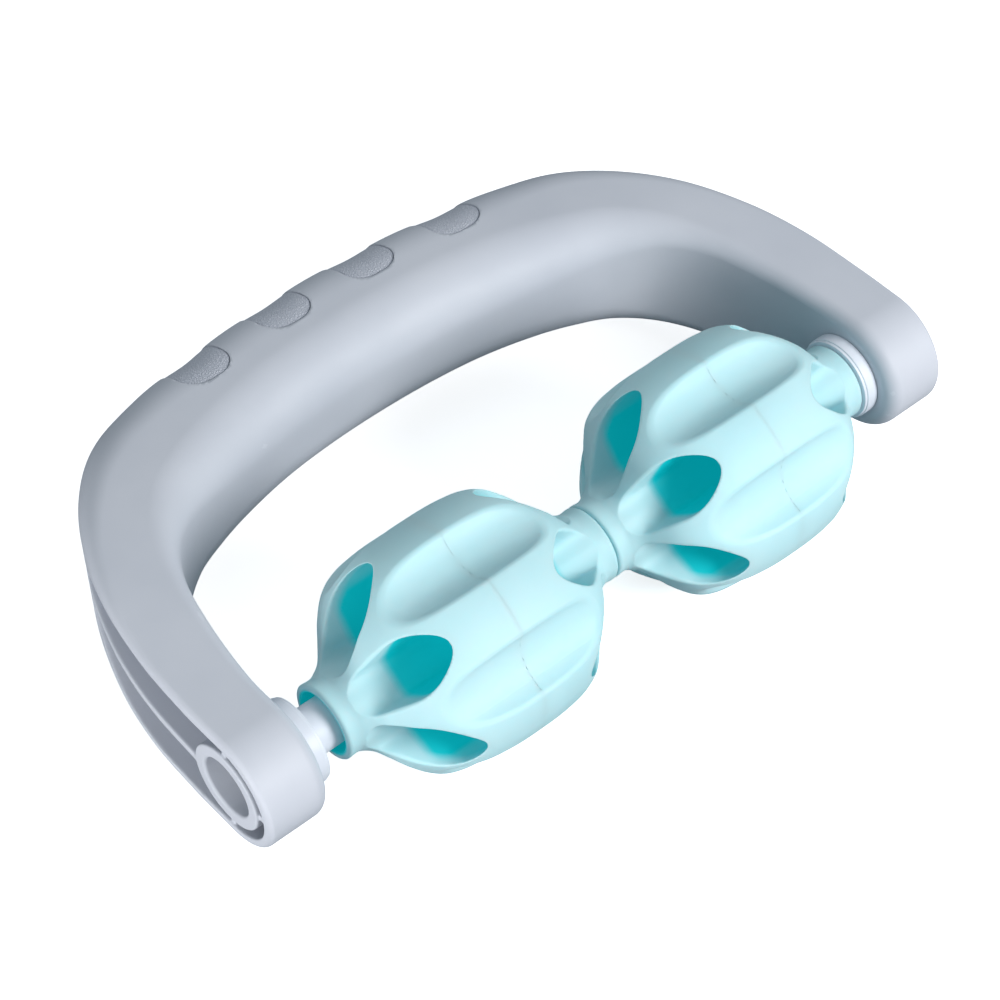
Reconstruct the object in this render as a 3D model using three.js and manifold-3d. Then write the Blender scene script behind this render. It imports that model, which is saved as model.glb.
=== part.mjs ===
// Hand-held neck and shoulder massager: a U-shaped handle that carries two lobed rollers on one
// axle between its arms.
//
// Millimetres, +Z up. X runs along the axle from the left arm to the right arm, and Y runs from the
// axle to the grip. The parts are laid out about the middle of the axle. The finished group is then
// moved so that its origin is the middle of the underside of its bounding box.
import * as THREE from "three";
import { mergeVertices } from "three/addons/utils/BufferGeometryUtils.js";
import Module from "manifold-3d";

// ---- Handle ----
const ARM_OUTER_X = 103.8; // outer face of each arm
const ARM_THICKNESS = 16.8; // across the arm at the axle
const ARM_INNER_X = ARM_OUTER_X - ARM_THICKNESS;
const ARM_HALF_HEIGHT = 16; // the arm ends in a half disc of this radius about the axle
const ARM_OUTER_ROUND = 1.5; // edge radius on the outer side of the arm
const ARM_INNER_ROUND = 3.5; // edge radius on the side that faces the rollers
const GRIP_OUTER_Y = 108.5; // outermost point of the grip, from the axle
const GRIP_THICKNESS = 36;
const GRIP_INNER_Y = GRIP_OUTER_Y - GRIP_THICKNESS;
const GRIP_HALF_HEIGHT = 17.6;

// Right half of the handle seen from above: where its outer and its inner boundary run. A section
// is its half height and the radii of its outer and its inner edges.
const ARM_SECTION = [ARM_HALF_HEIGHT, ARM_OUTER_ROUND, ARM_INNER_ROUND];
const GRIP_SECTION = [GRIP_HALF_HEIGHT, 17.6, 13.5];
const HANDLE_STATIONS = [
  { outer: [ARM_OUTER_X, 0], inner: [ARM_INNER_X, 0], section: ARM_SECTION },
  { outer: [ARM_OUTER_X, 14], inner: [ARM_INNER_X, 12], section: ARM_SECTION },
  { outer: [102.9, 31], inner: [84.6, 28.3], section: [16.5, 1.8, 3.9] },
  { outer: [99.7, 48], inner: [80.9, 43.3], section: [17.3, 3, 4.8] },
  { outer: [93.3, 66], inner: [74.6, 54.3], section: [17.9, 5, 6.7] },
  { outer: [84, 82], inner: [65.7, 61.3], section: [18, 8.5, 9.5] },
  { outer: [72.1, 94.7], inner: [55.7, 65], section: [17.9, 13, 11.5] },
  { outer: [56.3, 102.1], inner: [44.6, 67.8], section: [17.7, 16.5, 12.8] },
  { outer: [37.9, 105.7], inner: [30.7, 70.4], section: GRIP_SECTION },
  { outer: [19, 107.8], inner: [15.8, 72], section: GRIP_SECTION },
  { outer: [0, GRIP_OUTER_Y], inner: [0, GRIP_INNER_Y], section: GRIP_SECTION },
];
const HALF_SPAN = HANDLE_STATIONS.length - 1; // path position of the right arm's end; 0 is mid-grip

// Channel in the outer side of each arm
const WALL = 2.6; // the channel's side walls
const FLOOR_WALL = 3; // between the channel and the side that faces the rollers
const CHANNEL_TIP = 4.35; // path position, counted from the arm's end, where the channel runs out
const CHANNEL_TAPER_START = 1.8; // path position where it starts to narrow
const CHANNEL_CORNER = 0.5; // rounding of the channel's corners
const MID_RIB = 2; // rib along the middle of the channel
const SMALL_RIB = 1.6;
const SMALL_RIB_SET_BACK = 0.7;
const BOSS_RADIUS = 11.1;
const RECESS_RADIUS = 7.67; // socket clearance around the nut
const RECESS_DEPTH = 13.8; // leaves the nut well below the arm's outer face

// Hollow core of the grip, open to both channels through a narrow end
const CORE_WALL = 4;
const CORE_END = 3.1; // path position, counted from the arm's end, where the core opens
const CORE_FULL = 5.2; // path position where it has its full width
const CORE_NECK = 2.2; // radius at its open end
const CLEAR = 3; // how far a cut runs on beyond the surface that it cuts

// ---- Finger pads ----
const PAD_CENTRES_X = [-39.3, -13.1, 13.1, 39.3];
const PAD_LENGTH = 14.4; // along the grip; each pad wraps around the grip's outer half
const PAD_CORNER = 6;
const PAD_DROP = 0.08; // how fast the grip's middle falls back along its length
const PAD_SEAT = 2.2; // depth of the seat below the grip's surface
const PAD_SET_BACK = 0.5; // the pad's face below the grip's surface
const PAD_CLEARANCE = 0.15;

// ---- Axle ----
const ROD_RADIUS = 3;
const ROD_HOLE_RADIUS = 3.2;
const TUBE_RADIUS = 6;
const BUSH_FLANGE_RADIUS = 10.9;
const BUSH_SPIGOT_RADIUS = 5;
const BUSH_FACE_X = 83.1; // the flange's face towards the rollers
const WASHER_RADIUS = 6;
const WASHER_THICKNESS = 1.6;
const NUT_ACROSS_FLATS = 10;
const NUT_THICKNESS = 5;
const ROD_END_STAND_OUT = 1; // rod beyond the nut
const FLANGE_EDGE = 0.6; // chamfer
const GAP = 0.1; // between pieces that touch

// ---- Rollers ----
const LOBES = 6;
const ROLLER_LENGTH = 79.8;
const ROLLER_MEETING_X = 3.05; // where the two rollers meet, pushed against the right bush
const ROLLER_GAP = 0.3; // between the two rollers, and between a roller and the bush
const BARREL_RADIUS = 29.5;
const HUB_RADIUS = 10;
const HUB_BORE_RADIUS = 7.94;
const HUB_EDGE = 0.8; // rounding of the hub's end
const SEAT_BORE_RADIUS = 8.35; // holds the sleeve between the two end bores
const SEAT_HALF_LENGTH = 27;
const HALVES_GAP = 0.1; // each half's distance from the roller's middle plane
const FIRST_FLUTE_ANGLE = THREE.MathUtils.degToRad(95); // from +Y towards +Z
const FLUTE_CENTRE_RADIUS = 33.9; // each flute is part of a cylinder centred at this radius
const FLUTE_ROUND = 9.6;
const POCKET_FLOOR_RADIUS = 10.1; // the floor carries on from the hub's round surface
const POCKET_TOP_CENTRE = 20.7; // seen along the axle, the walls follow the hull of two circles
const POCKET_TOP_ROUND = 7.1;
const POCKET_LOW_CENTRE = 13.6;
const POCKET_LOW_ROUND = 5.4;
const POCKET_END = 4; // distance from the roller's middle plane to the end of each pocket
const ROLLER_PROFILE = [
  [35, HUB_RADIUS],
  [33.4, 11.2],
  [31, 14.8],
  [27.5, 19.3],
  [23, 23.8],
  [18, 27],
  [10, 29],
  [0, BARREL_RADIUS],
];

// ---- Sleeves inside the rollers ----
const SLEEVE_RADIUS = 8.25;
const SLEEVE_BORE_RADIUS = 6.1;
const SLEEVE_HALF_LENGTH = SEAT_HALF_LENGTH - 0.5;

// ---- Facets ----
const ROUND_SEGMENTS = 36; // around the rollers and the arm ends
const SMALL_SEGMENTS = 24; // around the pieces of the axle
const SECTION_CORNER_STEPS = 3; // in each rounded corner of the handle's section
const HANDLE_ROWS = 32;
const CHANNEL_ROWS = 12;
const CORE_ROWS = 14;
const PAD_ROWS = 12;

// ---- Materials ----
const plastic = (color, roughness) => new THREE.MeshStandardMaterial({ color, roughness, metalness: 0 });
const steel = () => new THREE.MeshStandardMaterial({ color: 0xb4b7ba, roughness: 0.35, metalness: 1 });
const GREY = 0xc6cbd5;
const AQUA = 0xb9ebf1;
const WHITE = 0xe4e8f0;

// ---- Solid modelling ----
const wasm = await Module();
wasm.setup();

/** Turns a closed three.js geometry into a solid. */
function solid(geometry) {
  const bare = geometry.clone();
  bare.deleteAttribute("normal");
  bare.deleteAttribute("uv");
  const merged = mergeVertices(bare, 1e-4);
  const corners = merged.index.array;
  const triangles = [];
  for (let i = 0; i < corners.length; i += 3) {
    const [a, b, c] = corners.slice(i, i + 3);
    if (a !== b && b !== c && c !== a) triangles.push(a, b, c);
  }
  return new wasm.Manifold(new wasm.Mesh({
    numProp: 3,
    vertProperties: Float32Array.from(merged.attributes.position.array),
    triVerts: Uint32Array.from(triangles),
  }));
}

/** Turns a solid into a named mesh. */
function meshOf(name, shape, material) {
  const result = shape.getMesh();
  const geometry = new THREE.BufferGeometry();
  geometry.setAttribute("position", new THREE.BufferAttribute(result.vertProperties, 3));
  geometry.setIndex(new THREE.BufferAttribute(result.triVerts, 1));
  const mesh = new THREE.Mesh(geometry, material);
  mesh.name = name;
  return mesh;
}

const union = (shapes) => shapes.reduce((sum, shape) => sum.add(shape));

/** A body of revolution about the X axis, from a closed or axis-to-axis outline of [x, radius]. */
function turned(outline, segments = ROUND_SEGMENTS) {
  const points = outline.map(([x, radius]) => new THREE.Vector2(radius, x));
  const geometry = new THREE.LatheGeometry(points, segments);
  geometry.rotateZ(-Math.PI / 2);
  geometry.rotateX(Math.PI / 2);
  return solid(geometry);
}

/** A plain disc or rod about the X axis. */
function disc(x0, x1, radius, segments = ROUND_SEGMENTS) {
  return turned([[x0, 0], [x0, radius], [x1, radius], [x1, 0]], segments);
}

/** A ring about the X axis. */
function ring(x0, x1, outerRadius, innerRadius, segments = ROUND_SEGMENTS) {
  const corners = [[x0, innerRadius], [x0, outerRadius], [x1, outerRadius], [x1, innerRadius]];
  return turned([...corners, corners[0]], segments);
}

function block(x0, x1, y0, y1, z0, z1) {
  const geometry = new THREE.BoxGeometry(x1 - x0, y1 - y0, z1 - z0);
  geometry.translate((x0 + x1) / 2, (y0 + y1) / 2, (z0 + z1) / 2);
  return solid(geometry);
}

/** Points of a quarter circle about (cx, cy), from one angle on. */
function quarter(cx, cy, radius, from, steps = 4) {
  const angles = Array.from({ length: steps + 1 }, (_, i) => from + (i / steps) * (Math.PI / 2));
  return angles.map((angle) => [cx + radius * Math.cos(angle), cy + radius * Math.sin(angle)]);
}

/** Outline around a convex row of circles [x, y, radius], listed anticlockwise. */
function roundedHull(circles, steps) {
  const normals = circles.map(([x, y, radius], i) => {
    const [nextX, nextY, nextRadius] = circles[(i + 1) % circles.length];
    const apart = Math.hypot(nextX - x, nextY - y);
    return Math.atan2(nextY - y, nextX - x) - Math.acos((radius - nextRadius) / apart);
  });
  return circles.flatMap(([x, y, radius], i) => {
    const from = normals[(i + circles.length - 1) % circles.length];
    const turn = (normals[i] - from + 4 * Math.PI) % (2 * Math.PI);
    return Array.from({ length: steps + 1 }, (_, k) => {
      const angle = from + (turn * k) / steps;
      return [x + radius * Math.cos(angle), y + radius * Math.sin(angle)];
    });
  });
}

function extruded(outline, depth) {
  const shape = new THREE.Shape(outline.map(([u, v]) => new THREE.Vector2(u, v)));
  return new THREE.ExtrudeGeometry(shape, { depth, bevelEnabled: false });
}

// ---- Handle ----
const mirrored = HANDLE_STATIONS.slice(0, HALF_SPAN).map((station) => ({
  outer: [-station.outer[0], station.outer[1]],
  inner: [-station.inner[0], station.inner[1]],
  section: station.section,
}));
const handleStations = [...mirrored, ...HANDLE_STATIONS.toReversed()];
function curveThrough(key) {
  const points = handleStations.map((station) => new THREE.Vector3(...station[key]));
  return new THREE.CatmullRomCurve3(points, false, "catmullrom", 0.5);
}
const outerCurve = curveThrough("outer");
const innerCurve = curveThrough("inner");
const sectionCurve = curveThrough("section");

/** Where the handle is at a path position: -HALF_SPAN at the left arm's end, 0 mid-grip. */
function handleAt(position) {
  const t = (position + HALF_SPAN) / (2 * HALF_SPAN);
  const outer = outerCurve.getPoint(t);
  const inner = innerCurve.getPoint(t);
  const section = sectionCurve.getPoint(t);
  const middle = outer.clone().add(inner).multiplyScalar(0.5);
  const outward = outer.clone().sub(inner);
  const halfWidth = outward.length() / 2;
  outward.normalize();
  return { middle, outward, halfWidth, halfHeight: section.x, outerRound: section.y, innerRound: section.z };
}

/** Outline of a rounded section as [outward, up] pairs, starting at its outer edge. */
function roundedSection({ low, high, halfHeight, outerRound, innerRound }) {
  const limit = Math.min((high - low) / 2, halfHeight) * 0.999;
  const outer = Math.min(outerRound, limit);
  const inner = Math.min(innerRound, limit);
  const steps = SECTION_CORNER_STEPS;
  return [
    ...quarter(high - outer, halfHeight - outer, outer, 0, steps),
    ...quarter(low + inner, halfHeight - inner, inner, Math.PI / 2, steps),
    ...quarter(low + inner, -halfHeight + inner, inner, Math.PI, steps),
    ...quarter(high - outer, -halfHeight + outer, outer, 1.5 * Math.PI, steps),
  ];
}

/** Sweeps a section along the handle's path between two path positions. */
function sweep(from, to, rows, sectionAt) {
  const count = 4 * (SECTION_CORNER_STEPS + 1);
  const sections = Array.from({ length: rows + 1 }, (_, row) => {
    const position = from + ((to - from) * row) / rows;
    const frame = handleAt(position);
    const outline = sectionAt(frame, position);
    const centre = outline.reduce((sum, [p]) => sum + p, 0) / outline.length;
    return { frame, outline, centre };
  });
  const geometry = new THREE.CylinderGeometry(1, 1, 1, count, rows);
  const vertices = geometry.attributes.position;
  for (let i = 0; i < vertices.count; i += 1) {
    const [x, y, z] = [vertices.getX(i), vertices.getY(i), vertices.getZ(i)];
    const { frame, outline, centre } = sections[Math.round((y + 0.5) * rows)];
    const turn = Math.atan2(x, z) / (2 * Math.PI);
    const onAxis = Math.hypot(x, z) < 0.5;
    const [outward, up] = onAxis ? [centre, 0] : outline[Math.round((turn + 1) * count) % count];
    const point = frame.middle.clone().addScaledVector(frame.outward, outward);
    vertices.setXYZ(i, point.x, point.y, up);
  }
  return solid(geometry);
}

/** The handle's outer skin, moved inwards by inset, between two path positions. */
function skin(from, to, rows, inset = 0) {
  return sweep(from, to, rows, (frame) => roundedSection({
    low: -frame.halfWidth + inset,
    high: frame.halfWidth - inset,
    halfHeight: frame.halfHeight - inset,
    outerRound: frame.outerRound - inset,
    innerRound: frame.innerRound - inset,
  }));
}

/** Half disc at the end of an arm, drawn as a full disc with rounded edges. */
function armEnd() {
  const innerX = ARM_INNER_X + ARM_INNER_ROUND;
  const outerX = ARM_OUTER_X - ARM_OUTER_ROUND;
  const innerEdge = quarter(innerX, ARM_HALF_HEIGHT - ARM_INNER_ROUND, ARM_INNER_ROUND, Math.PI / 2);
  const outerEdge = quarter(outerX, ARM_HALF_HEIGHT - ARM_OUTER_ROUND, ARM_OUTER_ROUND, 0);
  return turned([
    [ARM_INNER_X, 0],
    ...innerEdge.toReversed(),
    ...outerEdge.toReversed(),
    [ARM_OUTER_X, 0],
  ]);
}

/** The space inside the right arm's channel, without its ribs. */
function channelSpace() {
  const from = HALF_SPAN - CHANNEL_TIP;
  const along = sweep(from, HALF_SPAN, CHANNEL_ROWS, (frame, position) => {
    const taper = Math.min(1, (position - from) / (CHANNEL_TIP - CHANNEL_TAPER_START));
    const fullness = Math.max(0.02, Math.sqrt(1 - (1 - taper) ** 2));
    const depth = (2 * frame.halfWidth - FLOOR_WALL) * fullness;
    return roundedSection({
      low: frame.halfWidth - depth,
      high: frame.halfWidth + CLEAR,
      halfHeight: (frame.halfHeight - WALL) * fullness,
      outerRound: CHANNEL_CORNER,
      innerRound: CHANNEL_CORNER,
    });
  });
  const end = disc(ARM_INNER_X + FLOOR_WALL, ARM_OUTER_X + CLEAR, ARM_HALF_HEIGHT - WALL);
  return along.add(end);
}

/** What stays standing in the right arm's channel: the boss and the ribs. */
function channelRibs() {
  const x0 = ARM_INNER_X;
  const boss = disc(x0, ARM_OUTER_X, BOSS_RADIUS);
  const spine = block(0, ARM_OUTER_X + CLEAR, 0, GRIP_OUTER_Y, -MID_RIB / 2, MID_RIB / 2);
  const ribTop = ARM_OUTER_X - SMALL_RIB_SET_BACK;
  const half = SMALL_RIB / 2;
  const upright = block(x0, ribTop, -half, half, -ARM_HALF_HEIGHT, ARM_HALF_HEIGHT);
  const nose = block(x0, ribTop, -ARM_HALF_HEIGHT, 0, -half, half);
  return union([boss, spine, upright, nose]);
}

/** Cuts for the right arm: its channel, the nut's recess and the bush's hole. */
function armCuts() {
  return union([
    channelSpace().subtract(channelRibs()),
    disc(ARM_OUTER_X - RECESS_DEPTH, ARM_OUTER_X + CLEAR, RECESS_RADIUS),
    disc(ARM_INNER_X - CLEAR, ARM_OUTER_X, BUSH_SPIGOT_RADIUS + GAP),
  ]);
}

/** The grip's hollow core. */
function gripCore() {
  const end = HALF_SPAN - CORE_END;
  const full = HALF_SPAN - CORE_FULL;
  return sweep(-end, end, CORE_ROWS, (frame, position) => {
    const taper = Math.min(1, (end - Math.abs(position)) / (end - full));
    const fullness = Math.sin((taper * Math.PI) / 2);
    const halfWidth = THREE.MathUtils.lerp(CORE_NECK, frame.halfWidth - CORE_WALL, fullness);
    const halfHeight = THREE.MathUtils.lerp(CORE_NECK, frame.halfHeight - CORE_WALL, fullness);
    const round = { outerRound: halfWidth, innerRound: halfWidth };
    return roundedSection({ low: -halfWidth, high: halfWidth, halfHeight, ...round });
  });
}

/** An upright block over a pad's place, rounded where it ends on top of the grip. */
function padRegion(x, growth) {
  const side = PAD_LENGTH / 2 - PAD_CORNER;
  const innerY = GRIP_INNER_Y + GRIP_THICKNESS / 2 - PAD_DROP * Math.abs(x) + PAD_CORNER;
  const outline = roundedHull([
    [side, GRIP_OUTER_Y + PAD_CORNER, PAD_CORNER + growth],
    [-side, GRIP_OUTER_Y + PAD_CORNER, PAD_CORNER + growth],
    [-side, innerY, PAD_CORNER + growth],
    [side, innerY, PAD_CORNER + growth],
  ], 4);
  const height = GRIP_THICKNESS + 4;
  const geometry = extruded(outline, height);
  geometry.translate(x, 0, -height / 2);
  return solid(geometry);
}

const PAD_SPAN = 3.2; // path positions either side of mid-grip that the pads lie within
const padSeatFloor = skin(-PAD_SPAN, PAD_SPAN, PAD_ROWS, PAD_SEAT);
const padUnderside = skin(-PAD_SPAN, PAD_SPAN, PAD_ROWS, PAD_SEAT - PAD_CLEARANCE);
const padFace = skin(-PAD_SPAN, PAD_SPAN, PAD_ROWS, PAD_SET_BACK);

const fingerPads = PAD_CENTRES_X.map((x, i) => {
  const pad = padRegion(x, 0).intersect(padFace).subtract(padUnderside);
  return meshOf(`finger_pad_${i + 1}`, pad, plastic(GREY, 0.85));
});

function handleBody() {
  const outside = union([skin(-HALF_SPAN, HALF_SPAN, HANDLE_ROWS), armEnd(), armEnd().mirror([1, 0, 0])]);
  const seats = PAD_CENTRES_X.map((x) => padRegion(x, PAD_CLEARANCE).subtract(padSeatFloor));
  const cuts = union([armCuts(), armCuts().mirror([1, 0, 0]), gripCore(), ...seats]);
  return meshOf("handle_body", outside.subtract(cuts), plastic(GREY, 0.55));
}

// ---- Axle ----
const BUSH_SEAT_X = ARM_INNER_X - GAP; // the flange's back, against the arm
const RECESS_FLOOR_X = ARM_OUTER_X - RECESS_DEPTH;

/** Flanged bush of the right arm. */
function bush() {
  const flange = turned([
    [BUSH_FACE_X, 0],
    [BUSH_FACE_X, BUSH_FLANGE_RADIUS - FLANGE_EDGE],
    [BUSH_FACE_X + FLANGE_EDGE, BUSH_FLANGE_RADIUS],
    [BUSH_SEAT_X, BUSH_FLANGE_RADIUS],
    [BUSH_SEAT_X, 0],
  ]);
  const spigot = disc(BUSH_SEAT_X - 1, RECESS_FLOOR_X - GAP, BUSH_SPIGOT_RADIUS, SMALL_SEGMENTS);
  const hole = disc(BUSH_FACE_X - 1, RECESS_FLOOR_X + 1, ROD_HOLE_RADIUS, SMALL_SEGMENTS);
  return flange.add(spigot).subtract(hole);
}

const washerEnd = RECESS_FLOOR_X + GAP + WASHER_THICKNESS;
const nutEnd = washerEnd + GAP + NUT_THICKNESS;

function nut() {
  const across = NUT_ACROSS_FLATS / Math.cos(Math.PI / 6) / 2;
  return disc(washerEnd + GAP, nutEnd, across, 6)
    .subtract(disc(washerEnd - 1, nutEnd + 1, ROD_HOLE_RADIUS, SMALL_SEGMENTS));
}

function washer() {
  return ring(RECESS_FLOOR_X + GAP, washerEnd, WASHER_RADIUS, ROD_HOLE_RADIUS, SMALL_SEGMENTS);
}

function axleParts() {
  const rodEnd = nutEnd + ROD_END_STAND_OUT;
  const rod = disc(-rodEnd, rodEnd, ROD_RADIUS, SMALL_SEGMENTS);
  const tubeEnd = BUSH_FACE_X - GAP;
  const tube = ring(-tubeEnd, tubeEnd, TUBE_RADIUS, ROD_HOLE_RADIUS, SMALL_SEGMENTS);
  const parts = [
    meshOf("axle_rod", rod, steel()),
    meshOf("axle_tube", tube, plastic(WHITE, 0.45)),
  ];
  for (const side of ["left", "right"]) {
    const place = (shape) => (side === "right" ? shape : shape.mirror([1, 0, 0]));
    parts.push(
      meshOf(`${side}_axle_bush`, place(bush()), plastic(WHITE, 0.45)),
      meshOf(`${side}_washer`, place(washer()), steel()),
      meshOf(`${side}_nut`, place(nut()), steel()),
    );
  }
  return parts;
}

// ---- Rollers ----
/** The half of a roller on its +X side, with the roller's middle plane at x = 0. */
function rollerHalf() {
  const end = ROLLER_LENGTH / 2;
  const points = ROLLER_PROFILE.map(([x, radius]) => new THREE.Vector2(x, radius));
  const barrel = new THREE.SplineCurve(points).getPoints(9).map((point) => [point.x, point.y]);
  const body = turned([
    [HALVES_GAP, 0],
    [HALVES_GAP, BARREL_RADIUS],
    ...barrel.toReversed().slice(1),
    ...quarter(end - HUB_EDGE, HUB_RADIUS - HUB_EDGE, HUB_EDGE, 0, 3).toReversed(),
    [end, 0],
  ]);
  const bore = disc(-1, end + 1, HUB_BORE_RADIUS);
  const seat = disc(-1, SEAT_HALF_LENGTH, SEAT_BORE_RADIUS);
  return body.subtract(union([bore, seat, ...flutes(), ...pockets()]));
}

/** The long oval scoops around the middle of the barrel. */
function flutes() {
  const scoop = new THREE.CylinderGeometry(FLUTE_ROUND, FLUTE_ROUND, ROLLER_LENGTH, SMALL_SEGMENTS);
  scoop.rotateZ(Math.PI / 2);
  scoop.translate(0, FLUTE_CENTRE_RADIUS, 0);
  return around(scoop, FIRST_FLUTE_ANGLE);
}

/** The deep pockets that open in the barrel's shoulder, halfway between the flutes. */
function pockets() {
  const outline = roundedHull([
    [POCKET_LOW_CENTRE, 0, POCKET_LOW_ROUND],
    [POCKET_TOP_CENTRE, 0, POCKET_TOP_ROUND],
  ], 6);
  const pocket = extruded(outline, ROLLER_LENGTH / 2);
  pocket.rotateX(Math.PI / 2);
  pocket.rotateZ(Math.PI / 2);
  pocket.translate(POCKET_END, 0, 0);
  const core = disc(0, ROLLER_LENGTH, POCKET_FLOOR_RADIUS);
  return around(pocket, FIRST_FLUTE_ANGLE + Math.PI / LOBES).map((shape) => shape.subtract(core));
}

/** Copies of a shape on the +Y side, one for each lobe. */
function around(geometry, firstAngle) {
  return Array.from({ length: LOBES }, (_, i) => {
    const copy = geometry.clone();
    copy.rotateX(firstAngle + (i * 2 * Math.PI) / LOBES);
    return solid(copy);
  });
}

function rollerParts() {
  const half = rollerHalf();
  const sleeveEnd = SLEEVE_HALF_LENGTH;
  const sleeve = ring(-sleeveEnd, sleeveEnd, SLEEVE_RADIUS, SLEEVE_BORE_RADIUS, SMALL_SEGMENTS);
  const centreOffset = (ROLLER_LENGTH + ROLLER_GAP) / 2;
  const parts = [];
  for (const [side, sign] of [["left", -1], ["right", 1]]) {
    const x = ROLLER_MEETING_X + sign * centreOffset;
    const outer = sign > 0 ? half : half.mirror([1, 0, 0]);
    const inner = outer.mirror([1, 0, 0]);
    parts.push(
      meshOf(`${side}_roller_outer_half`, outer.translate(x, 0, 0), plastic(AQUA, 0.4)),
      meshOf(`${side}_roller_inner_half`, inner.translate(x, 0, 0), plastic(AQUA, 0.4)),
      meshOf(`${side}_roller_sleeve`, sleeve.translate(x, 0, 0), plastic(WHITE, 0.45)),
    );
  }
  return parts;
}

// ---- Assembly ----
const massager = new THREE.Group();
massager.add(handleBody(), ...fingerPads, ...axleParts(), ...rollerParts());
const bounds = new THREE.Box3().setFromObject(massager, true);
const middle = bounds.getCenter(new THREE.Vector3());
massager.position.set(-middle.x, -middle.y, -bounds.min.z);

export default massager;
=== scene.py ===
"""Looks of the hand-held roller massager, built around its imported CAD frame.

Shapes are worked out in millimetres about the middle of the axle: x along the axle, y towards the grip, z up.
Each moulded piece is a signed distance field, meshed with quads on a grid that follows the piece.
"""

import math

import bpy
import numpy as np
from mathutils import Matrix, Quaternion, Vector


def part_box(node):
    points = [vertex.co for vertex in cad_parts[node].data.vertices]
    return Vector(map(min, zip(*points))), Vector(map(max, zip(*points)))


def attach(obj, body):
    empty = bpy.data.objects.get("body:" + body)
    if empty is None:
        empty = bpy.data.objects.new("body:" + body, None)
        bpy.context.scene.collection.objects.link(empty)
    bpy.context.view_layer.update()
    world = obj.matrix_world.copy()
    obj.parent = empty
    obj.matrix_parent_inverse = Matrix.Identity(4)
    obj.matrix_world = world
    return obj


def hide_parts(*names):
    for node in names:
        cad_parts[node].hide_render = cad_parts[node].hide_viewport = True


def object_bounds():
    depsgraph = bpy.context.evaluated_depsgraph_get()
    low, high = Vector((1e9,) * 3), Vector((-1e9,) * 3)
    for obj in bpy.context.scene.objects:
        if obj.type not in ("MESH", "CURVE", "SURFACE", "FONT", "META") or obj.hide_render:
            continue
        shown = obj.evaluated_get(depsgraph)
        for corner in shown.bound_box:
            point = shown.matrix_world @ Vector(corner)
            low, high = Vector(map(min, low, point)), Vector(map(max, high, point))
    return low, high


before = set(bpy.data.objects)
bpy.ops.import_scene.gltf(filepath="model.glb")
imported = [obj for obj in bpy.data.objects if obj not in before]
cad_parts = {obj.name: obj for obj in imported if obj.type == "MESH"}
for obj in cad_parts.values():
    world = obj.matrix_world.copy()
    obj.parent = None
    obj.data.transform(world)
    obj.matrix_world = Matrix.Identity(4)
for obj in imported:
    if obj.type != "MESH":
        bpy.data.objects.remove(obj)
cad_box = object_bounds()
MM = 0.001
AXLE = sum(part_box("axle_tube"), Vector()) / 2
MIDDLE = (Vector(cad_box[0]) + Vector(cad_box[1])) / 2


def cad_box_mm(node):
    """Lowest and highest corner of a CAD node, in millimetres about the middle of the axle."""
    low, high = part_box(node)
    return np.array((low - AXLE) / MM), np.array((high - AXLE) / MM)


# ---- Driving sizes, from the frame ----
handle_low, handle_high = cad_box_mm("handle_body")
bush_low, bush_high = cad_box_mm("right_axle_bush")
BUSH_STAND_OUT = 3.9  # how far the bush's flange stands out of the arm
ARM_OUTER_X = handle_high[0]
ARM_INNER_X = bush_low[0] + BUSH_STAND_OUT
ARM_RADIUS = -handle_low[1]  # half disc about the axle at the end of each arm
GRIP_OUTER_Y = handle_high[1]
BUSH_FACE_X = bush_low[0]
BUSH_END_X = bush_high[0]
BUSH_RADIUS = bush_high[1]
TUBE_RADIUS = cad_box_mm("axle_tube")[1][1]
ROD_RADIUS = cad_box_mm("axle_rod")[1][1]
SLEEVE_RADIUS = cad_box_mm("left_roller_sleeve")[1][1]
ROLLER_LENGTH = cad_box_mm("right_roller_outer_half")[1][0] - cad_box_mm("right_roller_inner_half")[0][0]
ROLLER_HALF_LENGTH = ROLLER_LENGTH / 2

# ---- Handle ----
GRIP_THICKNESS = 36
ARM_SECTION = (ARM_RADIUS, 1.5, 3.5)
GRIP_SECTION = (17.6, 17.6, 13.5)
# Right half from the arm's end to mid-grip: outer point, inner point and section, as
# (half height, outer round, inner round).
STATIONS = [
    ((ARM_OUTER_X, 0), (ARM_INNER_X, 0), ARM_SECTION),
    ((ARM_OUTER_X, 14), (ARM_INNER_X - 0.2, 12), ARM_SECTION),
    ((102.9, 31), (84.6, 28.3), (16.5, 1.8, 3.9)),
    ((99.7, 48), (80.9, 43.3), (17.3, 3, 4.8)),
    ((93.3, 66), (74.6, 54.3), (17.9, 5, 6.7)),
    ((84, 82), (65.7, 61.3), (18, 8.5, 9.5)),
    ((72.1, 94.7), (55.7, 65), (17.9, 13, 11.5)),
    ((56.3, 102.1), (44.6, 67.8), (17.7, 16.5, 12.8)),
    ((37.9, 105.7), (30.7, 70.4), GRIP_SECTION),
    ((19, 107.8), (15.8, 72), GRIP_SECTION),
    ((0, GRIP_OUTER_Y), (0, GRIP_OUTER_Y - GRIP_THICKNESS), GRIP_SECTION),
]
SPAN = len(STATIONS) - 1  # path position of the right arm's end; 0 is mid-grip
BEYOND = 20.0  # millimetres past the axle for one step of path position beyond the arm's end
WALL = 2.6
FLOOR_WALL = 3
CHANNEL_TIP = 4.35  # path position of the channel's tip, back from the arm's end
CHANNEL_TAPER_START = 1.8  # the same for where the channel starts to narrow
CHANNEL_CORNER = 0.7
TIP_MARGIN = 0.05  # the field is raised by up to FILLED where the channel's formula would run on past its tip
FILLED = 30
MID_RIB = 2
SMALL_RIB = 1.6
SMALL_RIB_SET_BACK = 0.7
SMALL_RIB_EDGE = 0.25
SMALL_RIB_FILLET = 0.4
BOSS_RADIUS = 11.1
RIB_FILLET = 0.5  # between the boss, the mid rib and the channel
RECESS_RADIUS = 7.67
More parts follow.
